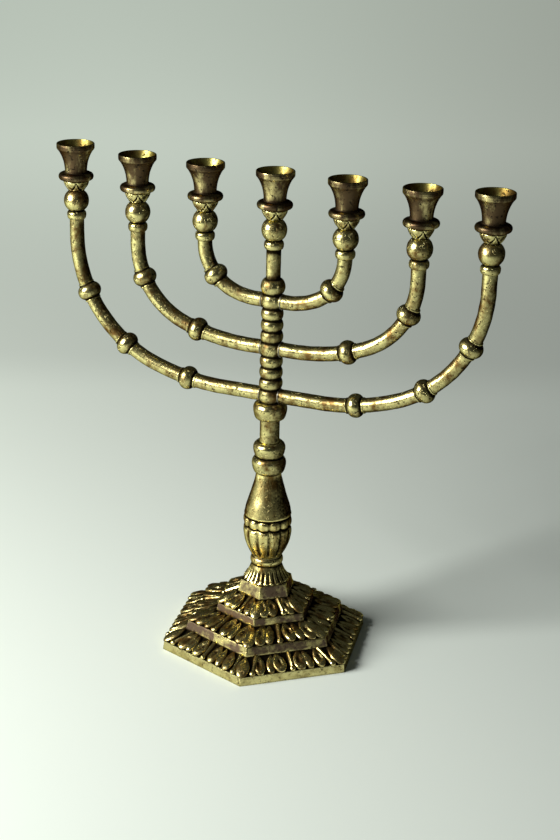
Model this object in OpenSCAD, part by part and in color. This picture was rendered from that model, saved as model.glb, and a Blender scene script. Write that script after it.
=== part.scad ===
// Seven-branched candle stand: a hollow stepped six-sided foot, a stacked stem held by one tie rod,
// a beaded column with three pairs of curved arms brazed into it, and seven screw-on candle cups.
// Millimetres, +Z up. The origin is on the column's axis, on the surface that the foot stands on.
// The arms lie along X.

/* [Foot] */
// Corner radius of the foot where it meets the table
foot_r = 62; // [52:0.5:80]
// Turn of the six-sided foot under the arms, in degrees
foot_turn = 10.2; // [-30:0.2:30]
// Height of the plain plinth band
plinth_h = 5; // [3:0.1:10]
// How much the plinth band draws in towards its top, at the corners
plinth_draft = 0.6; // [0:0.1:2]
// Corner radii of the three plain bands above the leaf friezes, at their feet
band_r = [48.4, 30, 17]; // [14:0.1:51]
// Heights of the three leaf friezes, from the lowest
frieze_h = [6.5, 4.8, 6.4]; // [3:0.1:12]
// Heights of the three plain bands, from the lowest
band_h = [5, 4.3, 7.2]; // [2:0.1:12]
// How much each plain band draws in towards its top, at the corners
band_draft = [1.6, 1, 1.7]; // [0:0.1:2]
// Wall of the hollow casting
foot_wall = 2.2; // [1.5:0.1:4]
// Thickness of the casting's top, which the tie rod pulls on
foot_roof = 3.2; // [2:0.1:5]

/* [Tie rod] */
// Radius of the threaded rod that holds the stem together
rod_r = 2.5; // [1.5:0.1:3]
// Radial clearance of the rod in the pieces that it passes through
rod_clearance = 0.25; // [0.1:0.05:0.6]
// Radial clearance of a screw thread in its tapped hole
thread_clearance = 0.05; // [0.02:0.01:0.1]
// Depth of the tapped hole in the bottom of the column
column_tap = 9; // [6:0.5:9.5]
// Gap left above the rod and above each stud in its tapped hole
tap_end_gap = 0.4; // [0.2:0.1:1]
// Radius of the washer under the foot's top
washer_r = 7; // [5:0.1:9]
// Thickness of the washer
washer_t = 1.2; // [0.8:0.1:2]
// Width of the nut across its flats
nut_af = 8; // [7.6:0.1:10]
// Height of the nut
nut_h = 4; // [3:0.1:6]
// Length of rod left below the nut
rod_tail = 2; // [0.5:0.1:4]

/* [Foot collar] */
// Radius of the fluted skirt at its foot
skirt_r = 13.2; // [12:0.1:13.2]
// Height of the skirt's plain edge
skirt_edge_h = 0.8; // [0.4:0.1:2]
// Height of the fluted skirt above its edge
skirt_h = 8; // [5:0.1:14]
// Radius of the ring above the skirt
collar_r = 8.9; // [8:0.1:10]
// How far the bead at the ring's foot stands out
collar_bead = 0.5; // [0.2:0.1:1]
// Height of the bead at the ring's foot
collar_bead_h = 1.6; // [1:0.1:3]
// Height of the plain ring above its bead
collar_h = 4.6; // [3:0.1:9]

/* [Baluster] */
// Largest radius, over the lobes
baluster_r = 14; // [12.5:0.1:17]
// Height of the tall lower lobes
tall_lobe_h = 18.8; // [14:0.1:26]
// How far below their top edge the tall lobes are widest
lobe_top_in = 2.4; // [1:0.1:4]
// Height of the row of short lobes
short_lobe_h = 6.5; // [4:0.1:9]
// Depth of the grooves above and below the short lobes
lobe_groove = 0.9; // [0.4:0.1:1.5]
// Radius of the smooth upper part at its foot
shoulder_r = 13.5; // [12:0.1:14]
// Height of the smooth upper part
shoulder_h = 25.7; // [18:0.1:36]
// Slope of the smooth upper part from vertical, in degrees
shoulder_slope = 16; // [12:0.5:16]
// Radius of the curve between the shoulder and the slope
shoulder_curve = 20; // [12:0.5:24]

/* [Ring collar] */
// Radius of the lower ring
low_ring_r = 9.75; // [8.6:0.05:12]
// Radius of the upper ring
high_ring_r = 9.15; // [8.4:0.05:12]
// Height of each ring
ring_h = 9.1; // [7:0.1:12]
// How far each ring swells out of the grooves above and below it
ring_swell = 1.7; // [0.8:0.1:1.8]
// Height of the plain neck under the lower ring
ring_neck_h = 0.9; // [0.5:0.1:3]
// Radius of that neck
ring_neck_r = 7.2; // [6.5:0.1:8]

/* [Stem] */
// Radius of the plain stem
stem_r = 5.65; // [4.5:0.05:7]
// Length of the plain stem
stem_h = 13.9; // [8:0.1:40]

/* [Column] */
// Radius of the bulb at the column's foot
bulb_r = 9.6; // [8.4:0.1:12]
// Height of the bulb's belly
bulb_h = 7.8; // [6:0.1:10]
// Radius of the lip under the bulb
bulb_lip_r = 8.2; // [7:0.1:9]
// Height of that lip
bulb_lip_h = 2.2; // [1.5:0.1:3]
// Depth of the grooves beside the bulb's belly
bulb_groove = 1; // [0.5:0.1:1.4]
// Height of the beads that hold the arms
joint_bead_h = 8; // [8:0.1:12]
// Height of the beads between them
bead_h = 6.5; // [4.5:0.1:9]
// Number of beads between two pairs of arms
beads_between = 3; // [1:1:5]
// Radius of the lowest bead
bead_r_low = 6.65; // [6.3:0.05:8]
// Radius of the highest of these beads
bead_r_high = 6.15; // [6.1:0.05:8]
// Depth of the grooves between the beads
bead_groove = 0.9; // [0.4:0.05:0.9]
// Radius of the top bead
top_bead_r = 6.85; // [6:0.05:8]
// Height of the top bead
top_bead_h = 8.5; // [6:0.1:10]
// Depth of the curve from the top bead's belly to its edges
top_bead_sag = 1.7; // [0.8:0.1:2]
// Length of the tube from the top bead to the centre cup's head
neck_h = 16.8; // [10:0.1:30]

/* [Arms] */
// Radius of the arms and of the centre tube
tube_r = 4.1; // [3.7:0.05:4.3]
// How much thinner the arm's tube gets at each bend
draw_down = 0.05; // [0.03:0.01:0.1]
// Distance of each arm's cup from the column's axis
reach = [41.3, 82.8, 121.6]; // [36:0.1:150]
// How far each arm's cup stands above the centre cup
rise = [0, 0, 2.2]; // [0:0.1:6]
// Length of the straight upright end of each arm, under its head
upright = [0.4, 7, 9]; // [0.2:0.1:20]
// Angle at which each arm changes from its easy bend to its tight bend, in degrees
bend_change = 20; // [10:1:30]
// Radius of each arm's easy bend, next to the column
easy_bend = [40, 115, 130]; // [30:1:150]
// Gap in the column between the arms' full-width ends, which sit in flat-bottomed sockets
socket_gap = 9.8; // [9:0.1:10]
// Radius of the round tenon on each arm's inner end
tenon_r = 3; // [2:0.1:3.5]
// Gap between the ends of two tenons in the column
tenon_gap = 4.8; // [3:0.1:6]
// Radius of the round knops on the arms
knop_r = 6.8; // [5.6:0.1:8]
// Length of a knop along its arm
knop_h = 9.8; // [6:0.1:10]
// How far a knop's edges stand out of the arm
knop_edge = 0.8; // [0.7:0.05:1.2]
// Places of the knops along each arm, as the arm's angle there in degrees
knops = [[49], [16, 65], [10, 35, 64]];

/* [Cup heads] */
// Radius of the ring at the foot of a head
head_ring_r = 5.4; // [5.1:0.05:7]
// Height of that ring
head_ring_h = 5; // [3:0.1:7]
// Depth of the grooves beside the ring
head_groove = 0.6; // [0.2:0.05:0.6]
// Radius of the ball under a cup
ball_r = 7.05; // [6:0.05:9]
// Height of the ball between its necks
ball_h = 11.6; // [9:0.1:11.9]
// Radius of the leaf calyx at its foot
calyx_foot_r = 4.9; // [4:0.1:6]
// Radius of the leaf calyx at its top, where the cup seats
calyx_top_r = 7.1; // [6.4:0.1:9]
// Height of the calyx
calyx_h = 5.8; // [4:0.1:9]
// Radius of the screw stud on top of the calyx
stud_r = 2.5; // [1.5:0.1:3]
// Length of the screw stud
stud_h = 3.6; // [2.5:0.1:3.6]

/* [Candle cups] */
// How far the cup's foot lies inside the top of the calyx
cup_foot_in = 0.2; // [0.1:0.1:1]
// Height of the cup's foot under its drip ring
cup_foot_h = 0.4; // [0.2:0.1:1]
// Radius of the drip ring
drip_r = 9.85; // [8.5:0.05:14]
// Thickness of the drip ring
drip_h = 3.8; // [2.5:0.1:5]
// Radius of the cup's body above the drip ring
cup_body_r = 6.2; // [6.1:0.05:8]
// Radius of the curve along which the cup's body flares
cup_flare_curve = 26; // [20:0.5:45]
// Radius of the cup's lip
lip_r = 10.65; // [10:0.05:12]
// Height of the plain band at the lip
lip_h = 2.9; // [1.5:0.1:4]
// Height of the flaring body, from the drip ring to the lip
cup_body_h = 14; // [11:0.1:15.5]
// Radius of the candle bore
candle_r = 5; // [4:0.05:5.1]
// Depth of the straight part of the candle bore
candle_depth = 7; // [4:0.1:9]
// Thickness of the floor between the stud hole and the candle bore
cup_floor = 1.1; // [0.8:0.1:3]
// Thickness of the lip's edge at the mouth
mouth_edge = 0.9; // [0.5:0.1:1.5]

/* [Hidden] */
$fn = 96;
// Overlap of shapes that are drawn separately in one piece
overlap = 1;
cos30 = cos(30);

// Radial size of a hexagon's corner offset that gives a wall of foot_wall on its flats
corner_wall = foot_wall / cos30;

// Heights of the foot's edges: top of the plinth, then foot and top of each band
band_foot_z = [
    plinth_h + frieze_h[0],
    plinth_h + frieze_h[0] + band_h[0] + frieze_h[1],
    plinth_h + frieze_h[0] + band_h[0] + frieze_h[1] + band_h[1] + frieze_h[2]
];
foot_h = band_foot_z[2] + band_h[2];
// Outline of the foot at a corner, from the table up: [corner radius, height]
foot_outline = [
    [foot_r, 0],
    [foot_r - plinth_draft, plinth_h],
    for (i = [0:2]) each [
        [band_r[i], band_foot_z[i]],
        [band_r[i] - band_draft[i], band_foot_z[i] + band_h[i]]
    ]
];

// The stack above the foot
ring_r = collar_r + collar_bead;
foot_collar_h = skirt_edge_h + skirt_h + collar_bead_h + collar_h;
baluster_z = foot_h + foot_collar_h;
baluster_h = tall_lobe_h + short_lobe_h + shoulder_h;
ring_collar_z = baluster_z + baluster_h;
ring_collar_h = ring_neck_h + 2 * ring_h;
stem_z = ring_collar_z + ring_collar_h;
column_z = stem_z + stem_h;
beads_z = column_z + bulb_lip_h + bulb_h;
bead_step = joint_bead_h + beads_between * bead_h;
bead_top_z = beads_z + 2 * bead_step + joint_bead_h;
head_z = bead_top_z + top_bead_h + neck_h;
head_h = head_ring_h + ball_h + calyx_h;
bead_count = 3 + 2 * beads_between;

// The rod's through holes, its ends, and the nut under the foot's top
rod_hole_r = rod_r + rod_clearance;
washer_z = foot_h - foot_roof - washer_t;
nut_z = washer_z - nut_h;
rod_z = nut_z - rod_tail;
rod_top_z = column_z + column_tap - tap_end_gap;

// The arms, by pair: 0 is the inner pair, 1 the middle pair, 2 the outer pair
function root_z(pair) = beads_z + (2 - pair) * bead_step + joint_bead_h / 2;
function cup_z(pair) = head_z + head_h + rise[pair];
function upright_z(pair) = head_z + rise[pair] - upright[pair];
// The tight bend's radius follows from the heights that the arm joins
function tight_bend(pair) =
    (upright_z(pair) - root_z(pair) - easy_bend[pair] * (1 - cos(bend_change))) / cos(bend_change);
// Where the easy bend starts on the straight run out of the column
function run_x(pair) = reach[pair] - easy_bend[pair] * sin(bend_change)
    - tight_bend(pair) * (1 - sin(bend_change));
// Point of an arm's centre line where the arm has turned through angle a
function arm_point(pair, a) = a < bend_change
    ? [run_x(pair) + easy_bend[pair] * sin(a), 0, root_z(pair) + easy_bend[pair] * (1 - cos(a))]
    : [reach[pair] - tight_bend(pair) * (1 - sin(a)), 0, upright_z(pair) - tight_bend(pair) * cos(a)];

// The cup
stud_hole_h = stud_h + tap_end_gap;
cup_h = cup_foot_h + drip_h + cup_body_h + lip_h;
candle_floor_z = stud_hole_h + cup_floor;

// Half outline of a turned bead: an arc that stands sag out of its edges over the height h
module bead_outline(r, h, sag) {
    arc_r = (h * h / 4 + sag * sag) / (2 * sag);
    intersection() {
        translate([r - arc_r, h / 2]) circle(arc_r, $fn = 180);
        square([r + overlap, h]);
    }
    square([min(r - sag, max(r - sag - overlap, overlap / 2)), h]);
}

// Half outline of the lower part of a cup head, under the calyx: a ring and a ball
module head_outline() {
    bead_outline(head_ring_r, head_ring_h, head_groove);
    translate([0, head_ring_h]) intersection() {
        translate([0, ball_h / 2]) circle(ball_r, $fn = 180);
        square([ball_r + overlap, ball_h]);
    }
}

// The head that carries a cup: ring, ball, calyx and screw stud, standing on z = 0
module cup_head() {
    calyx_z = head_h - calyx_h;
    rotate_extrude() head_outline();
    translate([0, 0, calyx_z]) cylinder(h = calyx_h, r1 = calyx_foot_r, r2 = calyx_top_r);
    translate([0, 0, head_h]) cylinder(h = stud_h, r = stud_r);
}

// Six-sided solid whose corners follow an outline of [corner radius, height] points
module six_sided(outline) {
    top = outline[len(outline) - 1][1];
    rotate([0, 0, foot_turn + 30]) rotate_extrude($fn = 6)
        polygon([[0, outline[0][1]], each outline, [0, top]]);
}

module foot_casting() {
    last = len(foot_outline) - 1;
    hollow = [
        [foot_r - corner_wall, -overlap],
        for (i = [1:last - 1]) [foot_outline[i][0] - corner_wall, foot_outline[i][1] - foot_wall],
        [foot_outline[last][0] - corner_wall, foot_h - foot_roof]
    ];
    color("darkgoldenrod") difference() {
        six_sided(foot_outline);
        six_sided(hollow);
        cylinder(h = foot_h + overlap, r = rod_hole_r);
    }
}

module tie_rod() {
    color("silver") translate([0, 0, rod_z]) cylinder(h = rod_top_z - rod_z, r = rod_r);
}

module tie_washer() {
    color("silver") translate([0, 0, washer_z]) difference() {
        cylinder(h = washer_t, r = washer_r);
        translate([0, 0, -overlap]) cylinder(h = washer_t + 2 * overlap, r = rod_hole_r);
    }
}

module tie_nut() {
    color("silver") translate([0, 0, nut_z]) difference() {
        cylinder(h = nut_h, r = nut_af / 2 / cos30, $fn = 6);
        translate([0, 0, -overlap]) cylinder(h = nut_h + 2 * overlap, r = rod_r + thread_clearance);
    }
}

module foot_collar() {
    color("goldenrod") translate([0, 0, foot_h]) difference() {
        union() {
            cylinder(h = skirt_edge_h, r = skirt_r);
            translate([0, 0, skirt_edge_h])
                cylinder(h = skirt_h, r1 = skirt_r, r2 = ring_r - collar_bead / 2);
            translate([0, 0, skirt_edge_h + skirt_h]) rotate_extrude()
                bead_outline(ring_r, collar_bead_h, collar_bead);
            translate([0, 0, foot_collar_h - collar_h]) cylinder(h = collar_h, r = collar_r);
        }
        translate([0, 0, -overlap]) cylinder(h = foot_collar_h + 2 * overlap, r = rod_hole_r);
    }
}

// Half outline of the baluster: tall lobes, short lobes, then the smooth shoulder and slope
module baluster_outline() {
    lobe_foot_r = collar_r;
    lobe_swell = baluster_r - lobe_foot_r;
    lobe_arc_h = tall_lobe_h - lobe_top_in;
    lobe_arc = (lobe_arc_h * lobe_arc_h + lobe_swell * lobe_swell) / (2 * lobe_swell);
    slope_z = shoulder_curve * sin(shoulder_slope);
    slope_r = shoulder_r - shoulder_curve * (1 - cos(shoulder_slope));
    top_r = slope_r - (shoulder_h - slope_z) * tan(shoulder_slope);
    intersection() {
        translate([baluster_r - lobe_arc, lobe_arc_h]) circle(lobe_arc, $fn = 240);
        square([baluster_r + overlap, tall_lobe_h]);
    }
    translate([0, tall_lobe_h]) bead_outline(baluster_r, short_lobe_h, lobe_groove);
    translate([0, tall_lobe_h + short_lobe_h]) {
        intersection() {
            translate([shoulder_r - shoulder_curve, 0]) circle(shoulder_curve, $fn = 240);
            square([shoulder_r + overlap, slope_z]);
        }
        polygon([[0, slope_z], [slope_r, slope_z], [top_r, shoulder_h], [0, shoulder_h]]);
    }
}

module baluster() {
    color("goldenrod") translate([0, 0, baluster_z]) difference() {
        rotate_extrude() baluster_outline();
        translate([0, 0, -overlap]) cylinder(h = baluster_h + 2 * overlap, r = rod_hole_r);
    }
}

module ring_collar() {
    color("gold") translate([0, 0, ring_collar_z]) difference() {
        union() {
            cylinder(h = ring_neck_h, r = ring_neck_r);
            translate([0, 0, ring_neck_h]) rotate_extrude() {
                bead_outline(low_ring_r, ring_h, ring_swell);
                translate([0, ring_h]) bead_outline(high_ring_r, ring_h, ring_swell);
            }
        }
        translate([0, 0, -overlap]) cylinder(h = ring_collar_h + 2 * overlap, r = rod_hole_r);
    }
}

module stem() {
    color("goldenrod") translate([0, 0, stem_z]) difference() {
        cylinder(h = stem_h, r = stem_r);
        translate([0, 0, -overlap]) cylinder(h = stem_h + 2 * overlap, r = rod_hole_r);
    }
}

// Height of bead i above the foot of the beads, counted from the lowest; every beads_between + 1st
// bead is a taller one that holds a pair of arms
function is_joint_bead(i) = i % (beads_between + 1) == 0;
function bead_z(i) = i == 0 ? 0 : bead_z(i - 1) + (is_joint_bead(i - 1) ? joint_bead_h : bead_h);
function bead_radius(i) = bead_r_low + (bead_r_high - bead_r_low) * i / (bead_count - 1);

module column() {
    color("gold") difference() {
        union() {
            translate([0, 0, column_z]) rotate_extrude() {
                bead_outline(bulb_lip_r, bulb_lip_h, bulb_groove / 2);
                translate([0, bulb_lip_h]) bead_outline(bulb_r, bulb_h, bulb_groove);
            }
            for (i = [0:bead_count - 1])
                translate([0, 0, beads_z + bead_z(i)]) rotate_extrude()
                    bead_outline(bead_radius(i), is_joint_bead(i) ? joint_bead_h : bead_h, bead_groove);
            translate([0, 0, bead_top_z]) rotate_extrude()
                bead_outline(top_bead_r, top_bead_h, top_bead_sag);
            translate([0, 0, head_z - neck_h]) cylinder(h = neck_h, r = tube_r);
            translate([0, 0, head_z]) cup_head();
        }
        translate([0, 0, column_z - overlap])
            cylinder(h = column_tap + overlap, r = rod_r + thread_clearance);
        for (pair = [0:2], side = [-1, 1]) translate([0, 0, root_z(pair)]) rotate([0, 90 * side, 0]) {
            translate([0, 0, socket_gap / 2]) cylinder(h = bulb_r, r = tube_r);
            translate([0, 0, tenon_gap / 2]) cylinder(h = bulb_r, r = tenon_r);
        }
    }
}

// A bend in the X-Z plane about [x, z], from angle a0 to angle a1 from straight down. It runs back
// by overlap into the slightly thicker tube before it.
module arm_bend(x, z, r, a0, a1, tube) {
    start = a0 - overlap / r * 180 / PI;
    translate([x, 0, z]) rotate([90, 0, 0]) rotate([0, 0, start - 90])
        rotate_extrude(angle = a1 - start) translate([r, 0]) circle(tube);
}

// One arm on the +X side: tenon, straight run, easy bend, tight bend, upright, knops and cup head
module arm_solid(pair) {
    translate([0, 0, root_z(pair)]) rotate([0, 90, 0]) {
        translate([0, 0, tenon_gap / 2])
            cylinder(h = (socket_gap - tenon_gap) / 2 + overlap, r = tenon_r);
        translate([0, 0, socket_gap / 2]) cylinder(h = run_x(pair) - socket_gap / 2, r = tube_r);
    }
    arm_bend(run_x(pair), root_z(pair) + easy_bend[pair], easy_bend[pair],
        0, bend_change, tube_r - draw_down);
    arm_bend(reach[pair] - tight_bend(pair), upright_z(pair), tight_bend(pair),
        bend_change, 90, tube_r - 2 * draw_down);
    translate([reach[pair], 0, upright_z(pair) - overlap])
        cylinder(h = upright[pair] + 2 * overlap, r = tube_r - 3 * draw_down);
    for (a = knops[pair])
        translate(arm_point(pair, a)) rotate([0, 90 - a, 0]) translate([0, 0, -knop_h / 2])
            rotate_extrude() bead_outline(knop_r, knop_h, knop_r - tube_r - knop_edge);
    translate([reach[pair], 0, head_z + rise[pair]]) cup_head();
}

module arm(pair, side) {
    color("gold") if (side > 0) arm_solid(pair); else mirror([1, 0, 0]) arm_solid(pair);
}

// One cup, standing on z = 0 over its stud
module cup_solid() {
    body_z = cup_foot_h + drip_h;
    lip_z = body_z + cup_body_h;
    difference() {
        union() {
            cylinder(h = cup_foot_h + drip_h, r = calyx_top_r - cup_foot_in);
            translate([0, 0, cup_foot_h]) rotate_extrude() bead_outline(drip_r, drip_h, drip_h / 2);
            translate([0, 0, body_z]) rotate_extrude() difference() {
                square([lip_r, cup_body_h]);
                translate([cup_body_r + cup_flare_curve, 0]) circle(cup_flare_curve, $fn = 240);
            }
            translate([0, 0, lip_z]) cylinder(h = lip_h, r = lip_r);
        }
        translate([0, 0, -overlap]) cylinder(h = stud_hole_h + overlap, r = stud_r + thread_clearance);
        translate([0, 0, candle_floor_z]) cylinder(h = cup_h - candle_floor_z, r = candle_r);
        translate([0, 0, candle_floor_z + candle_depth])
            cylinder(h = cup_h - candle_floor_z - candle_depth, r1 = candle_r, r2 = lip_r - mouth_edge);
        translate([0, 0, cup_h]) cylinder(h = overlap, r = lip_r - mouth_edge);
    }
}

module cup(pair, side) {
    color("peru") translate([side * reach[pair], 0, cup_z(pair)]) cup_solid();
}

module cup_centre() {
    color("peru") translate([0, 0, head_z + head_h]) cup_solid();
}

foot_casting();
tie_rod();
tie_washer();
tie_nut();
foot_collar();
baluster();
ring_collar();
stem();
column();
arm(0, -1);  // arm_inner_left
arm(0, 1);  // arm_inner_right
arm(1, -1);  // arm_middle_left
arm(1, 1);  // arm_middle_right
arm(2, -1);  // arm_outer_left
arm(2, 1);  // arm_outer_right
cup_centre();
cup(0, -1);  // cup_inner_left
cup(0, 1);  // cup_inner_right
cup(1, -1);  // cup_middle_left
cup(1, 1);  // cup_middle_right
cup(2, -1);  // cup_outer_left
cup(2, 1);  // cup_outer_right
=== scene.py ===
# %% [markdown]
# # A seven-branched candle stand in brass
#
# The real stand is a stack: a hollow six-sided foot cast with leaves, a fluted collar, a lobed
# baluster, two turned rings, a plain stem, and a beaded column that holds three pairs of arms.
# Seven turned cups screw onto the tops. The lesson builds each of them in that order, finishes
# them with brass that has been handled and has darkened in its corners, and lights the stand.
#
# The sizes come from a fixed frame, which is loaded first. New pieces are laid over it.

# %% Load the frame
import math

import bmesh
import bpy
import numpy as np
from mathutils import Matrix, Vector


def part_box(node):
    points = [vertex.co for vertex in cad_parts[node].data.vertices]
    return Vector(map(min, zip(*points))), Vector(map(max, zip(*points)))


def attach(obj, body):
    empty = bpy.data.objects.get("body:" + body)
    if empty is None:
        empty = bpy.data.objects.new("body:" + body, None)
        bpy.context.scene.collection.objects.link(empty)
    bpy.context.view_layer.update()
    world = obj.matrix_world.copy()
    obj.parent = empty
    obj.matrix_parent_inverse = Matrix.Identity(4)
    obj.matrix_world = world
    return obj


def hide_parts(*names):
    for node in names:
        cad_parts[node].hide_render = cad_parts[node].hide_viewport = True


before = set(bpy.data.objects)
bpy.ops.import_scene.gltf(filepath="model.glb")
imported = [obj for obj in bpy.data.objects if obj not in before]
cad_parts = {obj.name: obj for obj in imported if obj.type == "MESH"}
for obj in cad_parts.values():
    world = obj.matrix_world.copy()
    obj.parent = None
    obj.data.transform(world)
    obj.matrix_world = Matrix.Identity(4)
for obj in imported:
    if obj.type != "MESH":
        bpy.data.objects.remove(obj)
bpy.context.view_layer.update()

MM = 0.001

# %% [markdown]
# ## Working as by hand
#
# Operators act on whatever is selected, so every step first says what it picks. These short
# helpers do that: one clears the selection, one picks vertices by where they are, and one
# closes a finished shape, turns its faces outwards and smooths all but its sharp edges.

# %% Helpers for picking and closing
def clear_selection():
    if bpy.context.mode != "OBJECT":
        bpy.ops.object.mode_set(mode="OBJECT")
    bpy.ops.object.select_all(action="DESELECT")


def take(piece):
    clear_selection()
    piece.select_set(True)
    bpy.context.view_layer.objects.active = piece


def pick(piece, test):
    """In edit mode, selects the vertices whose place passes the test."""
    mesh = bmesh.from_edit_mesh(piece.data)
    for vertex in mesh.verts:
        vertex.select = bool(test(vertex.co))
    mesh.select_mode = {"VERT"}
    mesh.select_flush_mode()
    bmesh.update_edit_mesh(piece.data)


def close_up(piece, smooth=35):
    take(piece)
    bpy.ops.object.transform_apply(location=True, rotation=True, scale=True)
    bpy.ops.object.mode_set(mode="EDIT")
    bpy.ops.mesh.select_all(action="SELECT")
    bpy.ops.mesh.remove_doubles(threshold=0.002 * MM)
    bpy.ops.mesh.normals_make_consistent(inside=False)
    bpy.ops.object.mode_set(mode="OBJECT")
    bpy.ops.object.shade_smooth_by_angle(angle=math.radians(smooth))


def use_modifier(piece, kind, **settings):
    take(piece)
    made = piece.modifiers.new(kind.title(), kind)
    for name, value in settings.items():
        setattr(made, name, value)
    bpy.ops.object.modifier_apply(modifier=made.name)


def join(name, pieces):
    take(pieces[0])
    for piece in pieces:
        piece.select_set(True)
    if len(pieces) > 1:
        bpy.ops.object.join()
    pieces[0].name = pieces[0].data.name = name
    return pieces[0]


def copy_of(piece, name, matrix):
    """A copy with its own mesh, moved inside its mesh so that the object stays at the origin."""
    made = piece.copy()
    made.data = piece.data.copy()
    made.name = made.data.name = name
    bpy.context.scene.collection.objects.link(made)
    made.data.transform(matrix)
    if matrix.determinant() < 0:
        made.data.flip_normals()
    return made

# %% [markdown]
# ## Turning on a lathe
#
# Most of the stand is round. A turner cuts an outline while the work spins, and the spin
# operator does the same: one vertex is extruded from point to point along half the outline,
# and the line is then spun about the upright axis. Outlines are (radius, height) in
# millimetres above the foot of the piece, so they read like a turner's drawing.

# %% Helpers for turning
def bulge(radius, low, high, sag, steps=8):
    """Points of a round bead whose belly stands sag out of its edges."""
    half = (high - low) / 2
    arc = (half * half + sag * sag) / (2 * sag)
    reach = math.asin(min(1, half / arc))
    return [(radius - arc + arc * math.cos(a), (low + high) / 2 + arc * math.sin(a))
            for a in (reach * (2 * i / steps - 1) for i in range(steps + 1))]


def lathe(name, outline, foot=0.0, sides=64, turn=0.0, smooth=40):
    """Spins an outline; foot is in metres, and turn is the first meridian's angle in degrees."""
    clear_selection()
    bpy.ops.mesh.primitive_plane_add(size=MM, location=(0, 0, 0))
    piece = bpy.context.object
    bpy.ops.object.mode_set(mode="EDIT")
    bpy.ops.mesh.select_all(action="SELECT")
    bpy.ops.mesh.merge(type="CENTER")
    across, along = math.cos(math.radians(turn)) * MM, math.sin(math.radians(turn)) * MM
    radius, height = outline[0]
    bpy.ops.transform.translate(value=(radius * across, radius * along, foot + height * MM))
    for (r0, z0), (r1, z1) in zip(outline, outline[1:]):
        step = ((r1 - r0) * across, (r1 - r0) * along, (z1 - z0) * MM)
        bpy.ops.mesh.extrude_region_move(TRANSFORM_OT_translate={"value": step})
    bpy.ops.mesh.select_all(action="SELECT")
    bpy.ops.mesh.spin(steps=sides, angle=math.tau, center=(0, 0, 0), axis=(0, 0, 1))
    bpy.ops.object.mode_set(mode="OBJECT")
    piece.name = piece.data.name = name
    close_up(piece, smooth)
    return piece


def cut_flutes(piece, count, sides, low, high, depth, turn=0.0, power=1.0):
    """Sinks the grooves between count lobes by depth millimetres, from height low to high."""
    steps = sides // count
    take(piece)
    bpy.ops.object.mode_set(mode="EDIT")
    bpy.ops.mesh.select_mode(type="VERT")
    for phase in range(steps):
        sink = depth * (1 - math.sin(math.pi * phase / steps) ** power)
        if sink < 0.01:
            continue
        def on_meridian(co, phase=phase):
            angle = (math.degrees(math.atan2(co.y, co.x)) - turn) / 360 * sides
            index = round(angle)
            return (low * MM < co.z < high * MM and abs(angle - index) < 0.2
                    and index % steps == phase and math.hypot(co.x, co.y) > 4 * MM)
        pick(piece, on_meridian)
        bpy.ops.transform.shrink_fatten(value=-sink * MM)
    bpy.ops.object.mode_set(mode="OBJECT")

# %% [markdown]
# ## Where hands and polish reach, and where shade is painted
#
# Old brass is bright on its ridges and dark in its grooves. That can be measured on the mesh:
# where neighbouring normals spread apart the surface is a ridge, and where they close up it is
# a groove. Surfaces that face sideways or down are then counted as a little less worn, which
# is painted shade: it darkens the undersides, and the sides between the branches. The result,
# wear with that painted shade in it, is kept as an attribute from 0 in a groove to 1 on a
# ridge, and the materials read it later.

# %% Helper that measures ridges and grooves
def mark_wear_and_shade(piece, reach=1.5, spread=2, tone=None, facing_shade=0.0):
    mesh = piece.data
    count = len(mesh.vertices)
    place, normal = np.empty(count * 3), np.empty(count * 3)
    mesh.vertices.foreach_get("co", place)
    mesh.vertices.foreach_get("normal", normal)
    place, normal = place.reshape(-1, 3), normal.reshape(-1, 3)
    ends = np.empty(len(mesh.edges) * 2, dtype=np.int64)
    mesh.edges.foreach_get("vertices", ends)
    one, two = ends.reshape(-1, 2).T
    gap = place[two] - place[one]
    bend = ((normal[two] - normal[one]) * gap).sum(1) / ((gap * gap).sum(1) + 1e-12)
    links = np.bincount(one, minlength=count) + np.bincount(two, minlength=count) + 1e-9
    curve = (np.bincount(one, bend, count) + np.bincount(two, bend, count)) / links
    wear_and_shade = 0.5 + 0.5 * np.tanh(curve * reach * MM)
    for _ in range(spread):
        around = (np.bincount(one, wear_and_shade[two], count) + np.bincount(two, wear_and_shade[one], count)) / links
        wear_and_shade = 0.5 * wear_and_shade + 0.5 * around
    # Painted shade: surfaces that face sideways or down are made less worn, so tarnish and grime darken
    # them as shade would.
    if facing_shade:
        faces_front_back_or_up = np.clip((np.maximum(abs(normal[:, 1]), normal[:, 2]) - 0.45) / 0.4, 0, 1)
        wear_and_shade *= 1 - facing_shade * (1 - faces_front_back_or_up)
    if tone is not None:
        wear_and_shade = np.minimum(wear_and_shade, tone(place / MM))
    if "wear_and_shade" not in mesh.attributes:
        mesh.attributes.new("wear_and_shade", "FLOAT", "POINT")
    mesh.attributes["wear_and_shade"].data.foreach_set("value", wear_and_shade.astype(np.float32))

# %% [markdown]
# ## The foot
#
# The foot is one hollow sand casting on a six-sided plan. Three plain bands step up from the
# table, and between them lie sloping friezes of leaves. A ring of six vertices is extruded
# upwards and resized step by step, which keeps the corners in line all the way up. The ground
# of each frieze is set a little deep, so that leaves can be laid on it afterwards. Solidify
# then gives the casting its wall, and Bevel softens the edges that a file has been over.

# %% Outline of the foot
FOOT_TURN = 10.2
BANDS = [  # corner radius and height at the foot and the top of each plain band
    ((62.0, 0.0), (61.4, 5.0)),
    ((48.4, 11.5), (46.8, 16.5)),
    ((30.0, 21.3), (29.0, 25.6)),
    ((17.0, 32.0), (15.3, 39.2)),
]
GROUND_DEPTH = 1.1
foot_steps = []
for (low, high), (above, _) in zip(BANDS, BANDS[1:]):
    foot_steps += [low, high, (high[0] - 1.6, high[1] - 0.3), (above[0] - 0.4, above[1] - GROUND_DEPTH)]
foot_steps += [BANDS[-1][0], BANDS[-1][1], (3.2, BANDS[-1][1][1])]
print("steps in the foot's outline:", len(foot_steps))

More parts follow.
